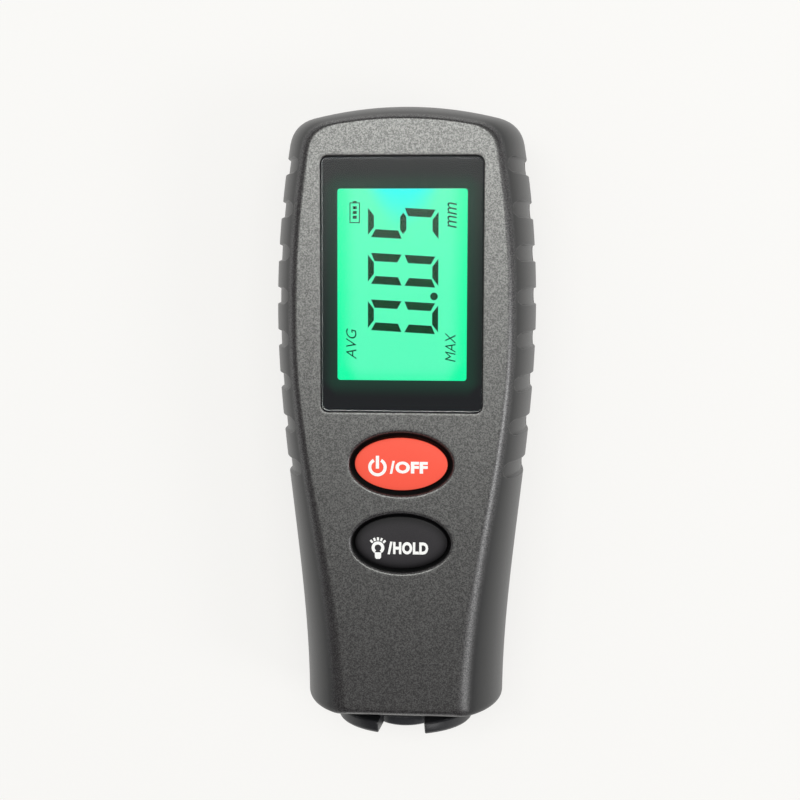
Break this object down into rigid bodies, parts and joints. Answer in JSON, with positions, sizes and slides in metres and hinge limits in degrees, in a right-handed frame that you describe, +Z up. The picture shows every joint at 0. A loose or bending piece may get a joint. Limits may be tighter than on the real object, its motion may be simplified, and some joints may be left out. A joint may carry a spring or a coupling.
{
  "type": "coating thickness gauge",
  "caption": "Hand-held coating thickness gauge: tapered two-shell case with grip grooves, lit display, oval keys, battery door and a sprung probe in a notched collar.",
  "frame": {"origin": "centre of the bounding box at the back of the case, which is the face it lies on", "axes": "+Z up out of the face with the display, +Y towards the display end, -Y towards the probe"},
  "size_m": [0.0456, 0.11, 0.0271],
  "materials": {
    "case": "fine textured grey",
    "lens": "clear polished",
    "border": "black print behind the lens",
    "display": "lit green",
    "light_guide": "milky",
    "white_plastic": "moulded",
    "contact_rubber": "matte",
    "board": "green solder mask",
    "black_plastic": "moulded",
    "can": "drawn",
    "ceramic": "ceramic",
    "red_key": "satin red",
    "black_key": "satin black",
    "collar": "satin black",
    "sleeve": "satin black",
    "core": "polished",
    "winding": "enamelled copper wire",
    "spring_wire": "drawn wire",
    "lead": "insulated wire",
    "cell_jacket": "plain printed jacket",
    "contact": "plated",
    "screw": "zinc plated"
  },
  "bodies": {
    "housing": {"front_shell": "case", "rear_shell": "case", "display_lens": "lens", "border_film": "border", "lcd_panel": "display", "backlight_panel": "light_guide", "display_frame": "white_plastic", "probe_connector": "white_plastic", "zebra_strips": "contact_rubber", "circuit_board": "board", "controller_chip": "black_plastic", "power_switch_body": "black_plastic", "unit_switch_body": "black_plastic", "crystal_can": "can", "capacitors": "ceramic", "probe_collar": "collar", "probe_cap": "collar", "probe_spring": "spring_wire", "battery_springs": "spring_wire", "probe_lead": "lead", "battery_left": "cell_jacket", "battery_right": "cell_jacket", "battery_plates": "contact", "case_screws": "screw", "board_screws": "screw"},
    "power_key": {"power_button": "red_key", "power_switch_stem": "white_plastic"},
    "unit_key": {"unit_button": "black_key", "unit_switch_stem": "white_plastic"},
    "probe": {"probe_sleeve": "sleeve", "probe_core": "core", "probe_coil": "winding"},
    "door": {"battery_door": "case"}
  },
  "joints": [
    {"name": "power_press", "type": "slide", "parent": "housing", "child": "power_key", "axis": [0, 0, -1], "range_m": [0, 0.0005], "stiffness_N_per_m": 1500},
    {"name": "unit_press", "type": "slide", "parent": "housing", "child": "unit_key", "axis": [0, 0, -1], "range_m": [0, 0.0005], "stiffness_N_per_m": 1500},
    {"name": "probe_press", "type": "slide", "parent": "housing", "child": "probe", "axis": [0, 1, 0], "range_m": [0, 0.0013], "stiffness_N_per_m": 1200, "deforming": ["probe_spring"]},
    {"name": "door_swing", "type": "hinge", "parent": "housing", "child": "door", "pos_m": [0, 0.0225, 0.0015], "axis": [1, 0, 0], "range_deg": [0, 80]}
  ]
}
